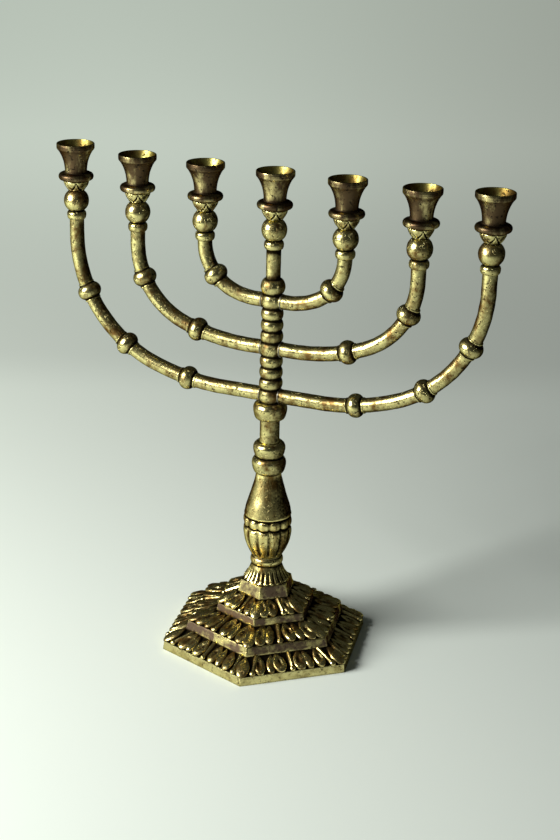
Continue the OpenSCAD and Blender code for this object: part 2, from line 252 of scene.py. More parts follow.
# %% Raise the foot step by step
clear_selection()
bpy.ops.mesh.primitive_circle_add(vertices=6, radius=foot_steps[0][0] * MM,
                                  rotation=(0, 0, math.radians(FOOT_TURN)))
foot = bpy.context.object
bpy.ops.object.transform_apply(location=True, rotation=True, scale=True)
bpy.ops.object.mode_set(mode="EDIT")
bpy.ops.mesh.select_all(action="SELECT")
for (r0, z0), (r1, z1) in zip(foot_steps, foot_steps[1:]):
    bpy.ops.mesh.extrude_region_move(TRANSFORM_OT_translate={"value": (0, 0, (z1 - z0) * MM)})
    bpy.ops.transform.resize(value=(r1 / r0, r1 / r0, 1), center_override=(0, 0, z1 * MM))
bpy.ops.mesh.select_all(action="SELECT")
bpy.ops.mesh.normals_make_consistent(inside=False)
bpy.ops.object.mode_set(mode="OBJECT")
foot.name = foot.data.name = "foot_shell"
print("foot faces:", len(foot.data.polygons))

# %% [markdown]
# The faces are sorted before the wall and the bevels are made, because new faces take the
# finish of those beside them. Slot 0 is bare filed brass on the plinth, slot 1 the dull brown
# face of the bands, slot 2 the dark ground under the leaves, and slot 3 the rough inside. The
# plain faces are inset first, so that their edges can be brighter than their middles.

# %% Sort the foot's faces and give it its wall
for face in foot.data.polygons:
    height = face.center.z / MM
    in_band = [low[1] - 0.2 < height < high[1] + 0.2 for low, high in BANDS]
    face.material_index = 0 if in_band[0] else 1 if any(in_band) else 2
for name in ("plinth", "band", "ground", "inside"):
    foot.data.materials.append(bpy.data.materials.new("foot " + name))
take(foot)
bpy.ops.object.mode_set(mode="EDIT")
bpy.ops.mesh.select_mode(type="FACE")
bpy.ops.mesh.select_all(action="DESELECT")
bpy.ops.object.mode_set(mode="OBJECT")
for face in foot.data.polygons:
    face.select = face.material_index < 2
bpy.ops.object.mode_set(mode="EDIT")
bpy.ops.mesh.inset(thickness=1.1 * MM, use_individual=True)
bpy.ops.mesh.select_mode(type="VERT")
bpy.ops.object.mode_set(mode="OBJECT")
use_modifier(foot, "SOLIDIFY", thickness=2.2 * MM, offset=-1, material_offset=3,
             use_even_offset=True)
use_modifier(foot, "BEVEL", width=0.5 * MM, segments=3, limit_method="ANGLE",
             angle_limit=math.radians(28))
take(foot)
bpy.ops.object.shade_smooth_by_angle(angle=math.radians(30))
print("foot with wall and bevels:", len(foot.data.polygons), "faces")

# %% [markdown]
# ## Leaves of the friezes
#
# Each frieze is a close row of curled leaves, plain lobes and thin ribs that end in a ball,
# with one long smooth tongue over each corner. Each kind is modelled once, one unit wide, long
# and high, and copied along the slopes. They are small and many, so each has only a few dozen
# faces. The y axis runs from a leaf's free tip to its root.

# %% A curled leaf: a rounded shell with a raised edge and an off-centre hollow
def dome(name, sides, rises, centre):
    """Extrudes a disc upwards; rises are (step up, size, shift of the centre along x)."""
    clear_selection()
    bpy.ops.mesh.primitive_circle_add(vertices=sides, radius=0.5, fill_type="NGON",
                                      location=(0, 0.5, -0.4))
    made = bpy.context.object
    made.name = name
    bpy.ops.object.transform_apply(location=True, rotation=True, scale=True)
    bpy.ops.object.mode_set(mode="EDIT")
    bpy.ops.mesh.select_all(action="SELECT")
    for rise, size, shift in rises:
        bpy.ops.mesh.extrude_region_move(TRANSFORM_OT_translate={"value": (shift, 0, rise)})
        bpy.ops.transform.resize(value=(size, size, 1), center_override=(shift, centre, 0))
    return made


def narrow_root(made, width):
    """Draws the leaf in and down from a third of the way along, most at the root."""
    for low, share, height in ((0.3, 0.95, 0.9), (0.5, 0.92, 0.88), (0.7, width, 0.85)):
        pick(made, lambda co, low=low: co.y > low)
        bpy.ops.transform.resize(value=(share, 1, height), center_override=(0, 0.5, -0.4))
    bpy.ops.object.mode_set(mode="OBJECT")


leaf = dome("leaf", 16, ((0.8, 1.0, 0), (0.34, 0.94, 0), (0.22, 0.82, -0.02), (0.06, 0.62, 0.06),
                         (-0.34, 0.62, 0.05), (-0.2, 0.5, 0.02)), 0.52)
narrow_root(leaf, 0.75)
print("curled leaf:", len(leaf.data.polygons), "faces")

# %% A plain lobe, and a rib with a ball at its tip
lobe = dome("lobe", 10, ((0.7, 1.0, 0), (0.42, 0.86, 0), (0.2, 0.66, 0), (0.08, 0.4, 0)), 0.4)
narrow_root(lobe, 0.7)


def shape_rib():
    clear_selection()
    bpy.ops.mesh.primitive_cube_add(size=1, location=(0, 0.55, 0.1))
    rib = bpy.context.object
    bpy.ops.object.transform_apply(location=True, rotation=True, scale=True)
    bpy.ops.object.mode_set(mode="EDIT")
    bpy.ops.mesh.select_all(action="SELECT")
    bpy.ops.transform.resize(value=(0.62, 0.9, 1.5), center_override=(0, 0.55, 0))
    pick(rib, lambda co: co.z > 0)
    bpy.ops.transform.resize(value=(0.35, 1, 1), center_override=(0, 0.55, 0))
    pick(rib, lambda co: co.y > 0.6)
    bpy.ops.transform.resize(value=(1.4, 1, 0.8), center_override=(0, 1, 0))
    bpy.ops.mesh.select_all(action="SELECT")
    bpy.ops.mesh.bevel(offset=0.08, segments=1)
    bpy.ops.object.mode_set(mode="OBJECT")
    bpy.ops.mesh.primitive_uv_sphere_add(segments=10, ring_count=6, radius=0.5,
                                         location=(0, 0.12, 0.3))
    ball = bpy.context.object
    ball.scale = (0.85, 0.28, 1.5)
    bpy.ops.object.transform_apply(location=True, rotation=True, scale=True)
    return join("rib", [rib, ball])


rib = shape_rib()
print("lobe and rib:", len(lobe.data.polygons), len(rib.data.polygons), "faces")

# %% A smooth tongue for the corners
def shape_tongue():
    clear_selection()
    bpy.ops.mesh.primitive_uv_sphere_add(segments=14, ring_count=8, radius=0.5,
                                         rotation=(math.pi / 2, 0, 0), location=(0, 0.5, 0.1))
    tongue = bpy.context.object
    bpy.ops.object.transform_apply(location=True, rotation=True, scale=True)
    bpy.ops.object.mode_set(mode="EDIT")
    bpy.ops.mesh.select_all(action="SELECT")
    bpy.ops.transform.resize(value=(1, 1, 1.7), center_override=(0, 0.5, 0))
    narrow_root(tongue, 0.7)
    return tongue


tongue = shape_tongue()
print("tongue:", len(tongue.data.polygons), "faces")

# %% [markdown]
# A leaf is dark down its sides and in its hollow, and bright on its edge. Its own height says
# which, so the wear attribute is set on the kinds before they are copied.
#
# The leaves fan out towards the corners: each one's root and tip are the same share of the way
# along the top and the bottom of its slope. Every second curled leaf is mirrored, and each one
# is set a little off true, as the carver left them in the pattern for the mould.

# %% Set the leaves' wear and lay the friezes
for kind, floor, top in ((leaf, 0.0, 0.85), (lobe, 0.0, 0.8), (rib, 0.05, 0.75), (tongue, 0.0, 0.7)):
    mark_wear_and_shade(kind, reach=100, spread=0,
              tone=lambda place, f=floor, t=top: np.clip((place[:, 2] * MM - f) / (t - f), 0, 1))

ROWS = [  # the kinds along each side, and the height of the relief in millimetres
    ("RLOLRLOLR", 1.7),
    ("LORLOL", 1.7),
    ("LLRL", 1.8),
]
KINDS = {"L": (leaf, 1.25), "O": (lobe, 0.95), "R": (rib, 0.7)}
careless = np.random.default_rng(7)


def corner(radius, height, index):
    angle = math.radians(FOOT_TURN + 30 + 60 * index)
    return Vector((radius * math.cos(angle), radius * math.sin(angle), height)) * MM


def lay(kind, name, tip, root, out, width, height):
    """Copies a unit leaf so that it runs from tip to root, with its relief along out."""
    along = root - tip
    out = (out - out.project(along)).normalized()
    across = along.cross(out).normalized()
    turned = Matrix((across * width * MM, along, out * height * MM)).transposed().to_4x4()
    return copy_of(kind, name, Matrix.Translation(tip) @ turned)


def frieze(tier, pattern, relief):
    (_, low), (high, _) = BANDS[tier], BANDS[tier + 1]
    low_r, low_z = low[0] + 0.1, low[1] - 0.3
    high_r, high_z = high[0] + 0.2, high[1] + 0.1
    parts = []
    for side in range(6):
        feet = [corner(low_r, low_z, side + k) for k in (0, 1)]
        heads = [corner(high_r, high_z, side + k) for k in (0, 1)]
        out = (feet[1] - feet[0]).cross(heads[0] - feet[0]).normalized()
        pitch = (feet[1] - feet[0]).length / MM / (len(pattern) + 1)
        flip = 1
        for place, letter in enumerate(pattern):
            share = (place + 1 + careless.uniform(-0.08, 0.08)) / (len(pattern) + 1)
            slant = careless.uniform(-0.45, 0.45) / (len(pattern) + 1)
            kind, width = KINDS[letter]
            if letter == "L":
                flip = -flip
            parts.append(lay(kind, "leaf",
                             feet[0].lerp(feet[1], share) + out * careless.uniform(0.25, 0.6) * MM,
                             heads[0].lerp(heads[1], share + slant) - out * 0.4 * MM, out,
                             pitch * width * flip * careless.uniform(0.85, 1.1),
                             relief * careless.uniform(0.8, 1.15)))
        radial = Vector((feet[0].x, feet[0].y, 0)).normalized() + Vector((0, 0, 1.2))
        parts.append(lay(tongue, "tongue", feet[0] + radial.normalized() * 0.2 * MM,
                         heads[0] - radial.normalized() * 0.4 * MM, radial,
                         pitch * 1.35, relief * 1.2))
    made = join("frieze_%d" % (tier + 1), parts)
    take(made)
    bpy.ops.object.mode_set(mode="EDIT")
    bpy.ops.mesh.select_all(action="SELECT")
    bpy.ops.transform.vertex_random(offset=0.16 * MM, seed=tier + 3)
    bpy.ops.mesh.normals_make_consistent(inside=False)
    bpy.ops.object.mode_set(mode="OBJECT")
    bpy.ops.object.shade_smooth_by_angle(angle=math.radians(60))
    return made


friezes = [frieze(tier, pattern, relief) for tier, (pattern, relief) in enumerate(ROWS)]
for kind in (leaf, lobe, rib, tongue):
    bpy.data.objects.remove(kind)
print("frieze faces:", [len(made.data.polygons) for made in friezes])

# %% [markdown]
# ## Collar and baluster
#
# The collar's skirt is fluted and the baluster is gadrooned: both are turned first, and the
# grooves are then sunk along every few meridians. Each lobe keeps several meridians of its
# own, so it stays round across. Both have a bore for the rod that ties the stack together.

# %% Fluted collar
BORE = 2.75
collar_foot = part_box("foot_collar")[0].z
COLLAR_SIDES = 144
collar_outline = [
    (BORE, 0), (12.8, 0), (13.15, 0.3), (13.2, 0.9), (12.75, 1.5), (12.2, 2.1), (11.7, 2.8),
    (11.2, 3.6), (10.75, 4.4), (10.4, 5.2), (10.0, 6.1), (9.65, 7.0), (9.3, 7.9), (9.0, 8.7),
    (8.75, 9.2), (8.7, 9.5)] + bulge(9.5, 9.6, 14.3, 0.9, 12) + [
    (8.5, 14.5), (8.4, 15.0), (BORE, 15.0), (BORE, 0)]
collar = lathe("foot_collar_fluted", collar_outline, collar_foot, COLLAR_SIDES)
cut_flutes(collar, 24, COLLAR_SIDES, collar_foot / MM + 0.7, collar_foot / MM + 6.6, 0.8, power=0.6)
print("collar faces:", len(collar.data.polygons))

# %% Lobed baluster
baluster_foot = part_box("baluster")[0].z
LOBES, LOBE_SIDES, LOBE_TURN = 12, 120, -2.2
baluster_outline = [
    (BORE, 0), (8.3, 0), (8.8, 0.2), (9.3, 1.0), (9.9, 2.2), (10.6, 3.4), (11.2, 4.6), (11.8, 5.8),
    (12.35, 7.1), (12.85, 8.6), (13.3, 10.2), (13.6, 11.8), (13.85, 13.4), (14.0, 15.0),
    (14.02, 16.4), (13.9, 17.4), (13.6, 18.1), (13.1, 18.5), (12.8, 18.8), (13.1, 19.1),
    (13.6, 19.5), (13.95, 20.3), (14.1, 21.3), (14.1, 22.4), (13.95, 23.4), (13.6, 24.3),
    (13.1, 24.8), (12.8, 25.1), (13.0, 25.4), (13.45, 25.7), (13.62, 26.1), (13.55, 26.6),
    (13.35, 27.3), (13.15, 28.3), (12.95, 29.6), (12.5, 31.4), (11.9, 33.3), (11.25, 35.2),
    (10.65, 37.1), (10.05, 39.0), (9.55, 41.0), (9.1, 42.7), (8.55, 44.6), (8.05, 46.5),
    (7.6, 48.4), (7.3, 50.0), (7.2, 51), (BORE, 51), (BORE, 0)]
baluster = lathe("baluster_lobed", baluster_outline, baluster_foot, LOBE_SIDES, LOBE_TURN)
base_mm = baluster_foot / MM
cut_flutes(baluster, LOBES, LOBE_SIDES, base_mm + 0.6, base_mm + 18.3, 1.0, LOBE_TURN, 0.55)
cut_flutes(baluster, LOBES, LOBE_SIDES, base_mm + 19.0, base_mm + 24.9, 1.2, LOBE_TURN, 0.7)
print("baluster faces:", len(baluster.data.polygons))

# %% [markdown]
# ## Rings, stem and column
#
# These are plain turning. The column's outline is put together from its beads: three taller
# ones, where the arms go in, with three plain ones between them. They taper slightly upwards.

# %% Ring collar and stem
rings_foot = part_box("ring_collar")[0].z
FULL_RING = (  # share of the ring's height, and how far in from its widest the surface is there
    (0, 2.0), (0.05, 1.4), (0.12, 1.0), (0.22, 0.65), (0.34, 0.35), (0.46, 0.12), (0.58, 0),
    (0.7, 0.03), (0.8, 0.25), (0.89, 0.7), (0.96, 1.3), (1, 2.0))


def full_ring(widest, low, high):
    return [(widest - inset, low + share * (high - low)) for share, inset in FULL_RING]


ring_outline = ([(BORE, 0), (7.2, 0), (7.4, 0.4)] + full_ring(9.78, 0.6, 9.9)
                + full_ring(9.18, 10.1, 18.9) + [(7.2, 19.1), (BORE, 19.1), (BORE, 0)])
rings = lathe("ring_collar_turned", ring_outline, rings_foot, 96)
stem_foot, stem_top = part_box("stem")[0].z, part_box("stem")[1].z
stem_high = (stem_top - stem_foot) / MM
stem_outline = [(BORE, 0), (5.75, 0), (5.75, 0.5), (5.62, 1.0), (5.6, stem_high / 2),
                (5.62, stem_high - 1), (5.75, stem_high - 0.4), (5.75, stem_high),
                (BORE, stem_high), (BORE, 0)]
stem = lathe("stem_tube", stem_outline, stem_foot, 64)
print("rings and stem:", len(rings.data.polygons), len(stem.data.polygons), "faces")

# %% Cup head, shared by the column and the arms
HEAD_HIGH, STUD_TOP = 22.4, 26.0  # the seat of the cup, and the end of the screw stud
HEAD_CLOSED = 16.7  # where the turned part of the head closes, inside the calyx
head_outline = ([(4.2, 0), (4.75, 0.3), (5.15, 0.9), (5.38, 1.7), (5.45, 2.6), (5.4, 3.4),
                 (5.2, 4.1), (4.8, 4.6), (4.3, 4.85), (3.9, 4.95)]
    + [(7.07 * math.cos(a), 10.8 + 7.07 * math.sin(a))
       for a in (math.radians(-54.5 + 109 * i / 16) for i in range(17))])


def shape_calyx(name, foot):
    """A small bowl under the drip ring, with a zigzag cut round it that leaves pointed leaves."""
    outline = [(0, 16.3), (3.5, 16.35), (3.5, 16.8), (4.4, 17.05)]
    outline += [(4.8 + 2.4 * math.sin(math.radians(85 * t)), 17.1 + 4.9 * t)
                for t in (i / 14 for i in range(15))]
    outline += [(7.0, HEAD_HIGH - 0.1), (6.8, HEAD_HIGH), (5.6, HEAD_HIGH), (2.5, HEAD_HIGH),
                (2.5, STUD_TOP - 0.3), (2.2, STUD_TOP), (0, STUD_TOP)]
    made = lathe(name, outline, foot, 128)

    def on_zigzag(co):
        turn = math.degrees(math.atan2(co.y, co.x)) / 360 * 6 % 1
        line = foot / MM + 22.2 - 4.9 * (1 - abs(2 * turn - 1) ** 1.6) ** 0.7
        return math.hypot(co.x, co.y) > 4.6 * MM and abs(co.z / MM - line) < 0.62
    take(made)
    bpy.ops.object.mode_set(mode="EDIT")
    pick(made, on_zigzag)
    bpy.ops.transform.shrink_fatten(value=-0.65 * MM)
    bpy.ops.object.mode_set(mode="OBJECT")
    return made


# %% Beaded column
column_foot, column_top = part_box("column")[0].z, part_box("column")[1].z
JOINT_BEAD, PLAIN_BEAD, BEADS_BETWEEN = 8.0, 6.5, 3
column_outline = [(0, 9), (2.55, 9), (2.55, 0), (7.0, 0)]
column_outline += full_ring(9.65, 0.2, 9.9)
height, bead_total = 10.0, 3 + 2 * BEADS_BETWEEN
arm_heights = []
for index in range(bead_total):
    joint = index % (BEADS_BETWEEN + 1) == 0
    tall = JOINT_BEAD if joint else PLAIN_BEAD
    if joint:
        arm_heights.append(column_foot + (height + tall / 2) * MM)
    radius = 6.7 - 0.5 * index / (bead_total - 1)
    column_outline += bulge(radius, height + 0.1, height + tall - 0.1, 0.95, 8)
    height += tall
column_outline += bulge(6.87, height + 0.1, height + 8.4, 1.7, 10)
neck_top = (column_top - column_foot) / MM - STUD_TOP
column_outline += [(4.2, height + 8.6)]
neck_low = height + 9.1
column_outline += [(4.05, neck_low + (neck_top - 0.1 - neck_low) * i / 8) for i in range(9)]
column_outline += [(r, neck_top + z) for r, z in head_outline] + [(0, neck_top + HEAD_CLOSED)]
column_body = lathe("column_beads", column_outline, column_foot, 64)
column_calyx = shape_calyx("column_calyx", column_foot + neck_top * MM)
column = join("column_beaded", [column_body, column_calyx])
print("arm heights in mm:", [round(z / MM, 1) for z in arm_heights])

# %% [markdown]
# ## Arms
#
# An arm is a drawn tube bent twice: a short straight run out of the column, an easy bend and a
# tight bend that ends upright. A disc is extruded for the straight parts and spun about each
# bend's centre, as a tube is pulled round a former. Round knops are slid along it, and the
# same head as the column's closes the top. The left arms are mirror images of the right.

# %% Bend one arm
TUBE, ROOT_X, BEND_CHANGE = 4.1, 4.9, 20.0
ARMS = {  # upright end, easy bend's radius, and the angles where the knops sit
    "inner": (0.4, 40.0, (49,)),
    "middle": (7.0, 115.0, (16, 65)),
    "outer": (9.0, 130.0, (10, 35, 64)),
}
knop_outline = ([(0, -5.4), (4.2, -5.4), (4.5, -5.2), (4.55, -4.8), (4.4, -4.5)]
    + [(6.78 * math.cos(a) ** 0.8, 5.0 * math.sin(a))
       for a in (math.radians(-52 + 104 * i / 14) for i in range(15))]
    + [(4.4, 4.5), (4.55, 4.8), (4.5, 5.2), (4.2, 5.4), (0, 5.4)])


def bend_arm(pair, height):
    upright, easy, knops = ARMS[pair]
    low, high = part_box("cup_%s_right" % pair)
    reach, seat = (low.x + high.x) / 2, low.z
    foot_of_head = seat - HEAD_HIGH * MM
    bend_top = foot_of_head - upright * MM
    change, easy = math.radians(BEND_CHANGE), easy * MM
    tight = (bend_top - height - easy * (1 - math.cos(change))) / math.cos(change)
    start = reach - easy * math.sin(change) - tight * (1 - math.sin(change))
    clear_selection()
    bpy.ops.mesh.primitive_circle_add(vertices=32, radius=TUBE * MM, fill_type="NGON",
                                      location=(ROOT_X * MM, 0, height),
                                      rotation=(0, math.pi / 2, 0))
    tube = bpy.context.object
    bpy.ops.object.transform_apply(location=True, rotation=True, scale=True)
    bpy.ops.object.mode_set(mode="EDIT")
    bpy.ops.mesh.select_all(action="SELECT")
    straight = start - ROOT_X * MM
    pieces = max(1, round(straight / (2 * MM)))
    for _ in range(pieces):
        bpy.ops.mesh.extrude_region_move(TRANSFORM_OT_translate={"value": (straight / pieces, 0, 0)})
    for radius, centre, angle in (
            (easy, (start, 0, height + easy), change),
            (tight, (reach - tight, 0, bend_top), math.pi / 2 - change)):
        bpy.ops.mesh.spin(steps=max(8, round(radius * angle / (1.8 * MM))), angle=angle,
                          center=centre, axis=(0, 1, 0))
    for _ in range(4):
        rise = (upright * MM + 0.6 * MM) / 4
        bpy.ops.mesh.extrude_region_move(TRANSFORM_OT_translate={"value": (0, 0, rise)})
    bpy.ops.object.mode_set(mode="OBJECT")
    close_up(tube)
    parts = [tube]
    for angle in knops:
        a = math.radians(angle)
        if angle < BEND_CHANGE:
            spot = Vector((start + easy * math.sin(a), 0, height + easy * (1 - math.cos(a))))
        else:
            spot = Vector((reach - tight * (1 - math.sin(a)), 0, bend_top - tight * math.cos(a)))
        knop = lathe("knop", knop_outline, 0, 40)
        knop.data.transform(Matrix.Translation(spot) @ Matrix.Rotation(math.pi / 2 - a, 4, "Y"))
        parts.append(knop)
    head = lathe("head", [(0, 0)] + head_outline + [(0, HEAD_CLOSED)], foot_of_head, 64)
    calyx = shape_calyx("calyx", foot_of_head)
    for part in (head, calyx):
        part.data.transform(Matrix.Translation((reach, 0, 0)))
        parts.append(part)
    return join("arm_%s_right_bent" % pair, parts)


arms = {}
for pair, height in zip(("outer", "middle", "inner"), arm_heights):
    arms[pair, "right"] = bend_arm(pair, height)
    reached = max(vertex.co.x for vertex in arms[pair, "right"].data.vertices)
    print(pair, "arm reaches", round(reached / MM, 1), "mm")

# %% [markdown]
# A hand-cast surface is never quite true. A soft cloud pattern pushes it in and out by about a
# tenth of a millimetre, which is enough to make the reflections waver. The foot's rim is then
# laid flat again, as it would be by grinding it on a plate.

# %% Make the cast surfaces waver
waver = bpy.data.textures.new("casting waver", "CLOUDS")
waver.noise_scale, waver.noise_depth = 5 * MM, 1
for piece, strength in [(arm, 0.3) for arm in arms.values()] + [(column, 0.22), (baluster, 0.3),
                                                               (collar, 0.15), (foot, 0.1)]:
    use_modifier(piece, "DISPLACE", texture=waver, strength=strength * MM, mid_level=0.5)
take(foot)
bpy.ops.object.mode_set(mode="EDIT")
pick(foot, lambda co: co.z < 0.5 * MM)
bpy.ops.transform.resize(value=(1, 1, 0), center_override=(0, 0, 0))
bpy.ops.object.mode_set(mode="OBJECT")
for pair in ARMS:
    arms[pair, "left"] = copy_of(arms[pair, "right"], "arm_%s_left_bent" % pair,
                                 Matrix.Scale(-1, 4, (1, 0, 0)))
print("arms:", len(arms), "with", sum(len(a.data.polygons) for a in arms.values()), "faces")

# %% [markdown]
# ## Solder at the arms' roots
#
# The arms are brazed into the column. A little grey solder has run round each joint, so a thin
# uneven ring is laid where an arm meets its bead.

# %% Lay the solder
def run_solder(height, side, seed):
    clear_selection()
    bpy.ops.mesh.primitive_torus_add(major_radius=(TUBE + 0.05) * MM, minor_radius=0.5 * MM,
                                     major_segments=40, minor_segments=8,
                                     location=(side * 5.75 * MM, 0, height),
                                     rotation=(0, math.pi / 2, 0))
    ring = bpy.context.object
    bpy.ops.object.transform_apply(location=True, rotation=True, scale=True)
    bpy.ops.object.mode_set(mode="EDIT")
    bpy.ops.mesh.select_all(action="SELECT")
    bpy.ops.transform.vertex_random(offset=0.25 * MM, seed=seed)
    bpy.ops.mesh.vertices_smooth(factor=0.5, repeat=2)
    bpy.ops.object.mode_set(mode="OBJECT")
    return ring


solder = join("solder_rings", [run_solder(z, side, 10 * i + side + 2)
                               for i, z in enumerate(arm_heights) for side in (-1, 1)])
close_up(solder, 60)
print("solder faces:", len(solder.data.polygons))

# %% [markdown]
# ## Candle cups
#
# The cups are turned from bar. The drip ring stands on a fine step, the body flares to a plain
# lip, and the mouth funnels down to the candle's bore. One cup is turned and seven are placed.

# %% Turn a cup and copy it to the heads
cup_outline = [
    (0, 4.0), (2.55, 4.0), (2.55, 0), (6.6, 0), (6.95, 0.1), (7.0, 0.3), (7.9, 0.32), (8.5, 0.4),
    (9.1, 0.6), (9.5, 1.0), (9.75, 1.6), (9.85, 2.2), (9.8, 2.8), (9.6, 3.3), (9.2, 3.8),
    (8.6, 4.15), (7.8, 4.3), (7.0, 4.35), (6.5, 4.45), (6.25, 4.7), (6.2, 5.4), (6.25, 6.6),
    (6.4, 8.0), (6.65, 9.6), (7.0, 11.1), (7.45, 12.5), (7.95, 13.8), (8.5, 15.0), (9.1, 16.1), (9.7, 17.0),
    (10.3, 17.7), (10.55, 18.1), (10.62, 18.5), (10.64, 19.4), (10.64, 20.5), (10.55, 20.85),
    (10.3, 21.05), (10.0, 21.1), (9.75, 20.95), (9.5, 20.4), (9.1, 19.3), (8.6, 18.1),
    (8.0, 16.8), (7.3, 15.5), (6.6, 14.3), (5.9, 13.3), (5.3, 12.5), (5.05, 12.1), (5.0, 11.7),
    (5.0, 5.1), (0, 5.1)]
cup = lathe("cup_turned", cup_outline, 0, 80, smooth=30)
cups = {}
for node in sorted(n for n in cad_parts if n.startswith("cup_")):
    low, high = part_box(node)
    cups[node] = copy_of(cup, node + "_turned", Matrix.Translation(((low.x + high.x) / 2, 0, low.z)))
bpy.data.objects.remove(cup)
print("cups:", len(cups))

# %% [markdown]
# ## Brass, from new to old
#
# Three things make old brass look as it does. The metal itself is a warm yellow mirror with
# soft scratches. Tarnish lies over it in brown clouds and specks. Grime fills what polish does
# not reach, and it follows the wear attribute. That attribute also holds painted shade on sides
# and undersides, so there the tarnish and grime are painted shade. One node group mixes the
# three, and each material places it with its own colours and amounts.

# %% Group: aged brass
def add(nodes, kind, **values):
    node = nodes.new(kind)
    for name, value in values.items():
        if name in node.inputs:
            node.inputs[name].default_value = value
        else:
            setattr(node, name, value)
    return node


def new_group(name, inputs, outputs):
    group = bpy.data.node_groups.new(name, "ShaderNodeTree")
    for label, kind, default in inputs:
        made = group.interface.new_socket(label, in_out="INPUT", socket_type="NodeSocket" + kind)
        made.default_value = default
    for label, kind in outputs:
        group.interface.new_socket(label, in_out="OUTPUT", socket_type="NodeSocket" + kind)
    return group, group.nodes.new("NodeGroupInput"), group.nodes.new("NodeGroupOutput")


# A Mix node has sockets for several kinds of data; these are the places of its colours
FIRST_COLOUR, SECOND_COLOUR, MIXED_COLOUR = 6, 7, 2


def put(links, value, socket):
    """Feeds a socket from a node's output, or sets it to a plain number."""
    if isinstance(value, bpy.types.NodeSocket):
        links.new(value, socket)
    else:
        socket.default_value = value


def calculate(nodes, links, operation, *values):
    node = add(nodes, "ShaderNodeMath", operation=operation)
    for value, socket in zip(values, node.inputs):
        put(links, value, socket)
    return node.outputs[0]


def fade(nodes, links, value, low, high, first=0.0, last=1.0, kind="SMOOTHSTEP"):
    """Goes from first to last as a value goes from low to high."""
    node = add(nodes, "ShaderNodeMapRange", interpolation_type=kind)
    for label, number in (("From Min", low), ("From Max", high), ("To Min", first), ("To Max", last)):
        node.inputs[label].default_value = number
    links.new(value, node.inputs["Value"])
    return node.outputs[0]


def mix_colours(nodes, links, factor, first, second, blend="MIX"):
    node = add(nodes, "ShaderNodeMix", data_type="RGBA", blend_type=blend)
    put(links, factor, node.inputs["Factor"])
    put(links, first, node.inputs[FIRST_COLOUR])
    put(links, second, node.inputs[SECOND_COLOUR])
    return node.outputs[MIXED_COLOUR]


def aged_brass_group():
    group, given, result = new_group("aged brass", [
        ("Bright", "Color", (0.8, 0.62, 0.3, 1)), ("Tarnish", "Color", (0.4, 0.25, 0.1, 1)),
        ("Grime", "Color", (0.03, 0.02, 0.01, 1)), ("Wear and shade", "Float", 0.5),
        ("Tarnish Amount", "Float", 0.4), ("Grime Level", "Float", 0.35),
        ("Speck Amount", "Float", 0.3), ("Pit Depth", "Float", 0.5), ("Stretch", "Float", 1.0)],
        [("Color", "Color"), ("Roughness", "Float"), ("Height", "Float")])
    tree = nodes, links = group.nodes, group.links
    given = given.outputs
    place = add(nodes, "ShaderNodeTexCoord").outputs["Object"]
    clouds = add(nodes, "ShaderNodeTexNoise", Scale=140.0, Detail=5.0, Roughness=0.65)
    fine = add(nodes, "ShaderNodeTexNoise", Scale=900.0, Detail=3.0, Roughness=0.6)
    specks = add(nodes, "ShaderNodeTexNoise", Scale=560.0, Detail=3.0, Roughness=0.65)
    drawn = add(nodes, "ShaderNodeCombineXYZ", X=1.0, Y=1.0)
    links.new(given["Stretch"], drawn.inputs["Z"])
    stretched = add(nodes, "ShaderNodeVectorMath", operation="MULTIPLY")
    links.new(place, stretched.inputs[0])
    links.new(drawn.outputs[0], stretched.inputs[1])
    links.new(stretched.outputs[0], clouds.inputs["Vector"])
    for texture in (fine, specks):
        links.new(place, texture.inputs["Vector"])
    cloudy, grainy = clouds.outputs["Fac"], fine.outputs["Fac"]
    # Tarnish: clouds, pushed up or down by its amount, and rubbed off the ridges
    worn = calculate(*tree, "MULTIPLY_ADD", given["Wear and shade"], -0.5, given["Tarnish Amount"])
    tarnish = fade(*tree, calculate(*tree, "MULTIPLY_ADD", cloudy, 1.6, worn), 0.75, 1.15)
    with_tarnish = mix_colours(*tree, tarnish, given["Bright"], given["Tarnish"])
    # Specks: the rare peaks of a finer noise
    peaks = fade(*tree, specks.outputs["Fac"], 0.59, 0.66, kind="LINEAR")
    speck = calculate(*tree, "MULTIPLY", peaks, given["Speck Amount"])
    # Grime: where wear is below its level, with an edge broken up by the fine noise; on sides and
    # undersides this is painted shade
    ragged = calculate(*tree, "MULTIPLY_ADD", grainy, 0.3, given["Wear and shade"])
    above = calculate(*tree, "SUBTRACT", ragged, given["Grime Level"])
    dark = calculate(*tree, "MAXIMUM", fade(*tree, above, 0.02, 0.3, 1.0, 0.0), speck)
    links.new(mix_colours(*tree, dark, with_tarnish, given["Grime"]), result.inputs["Color"])
    # Roughness: bright metal is smooth, tarnish duller, grime matt
    rough = calculate(*tree, "MULTIPLY_ADD", tarnish, 0.12, 0.18)
    rougher = calculate(*tree, "MULTIPLY_ADD", dark, 0.3, rough)
    links.new(calculate(*tree, "MULTIPLY_ADD", grainy, 0.1, rougher), result.inputs["Roughness"])
    # Height: pits at the specks, over a faint grain
    pit = calculate(*tree, "MULTIPLY", speck, given["Pit Depth"])
    grain = calculate(*tree, "MULTIPLY_ADD", grainy, 0.35, 0.5)
    links.new(calculate(*tree, "SUBTRACT", grain, pit), result.inputs["Height"])
    return group


aged_brass = aged_brass_group()
print("aged brass group:", len(aged_brass.nodes), "nodes")

# %% [markdown]
# Turned pieces have one thing more: fine rings left by the lathe. They only change with
# height, so a wave texture along the upright axis draws them on every cup alike. The foot's
# slots already hold four materials, so those are found by name and filled in.

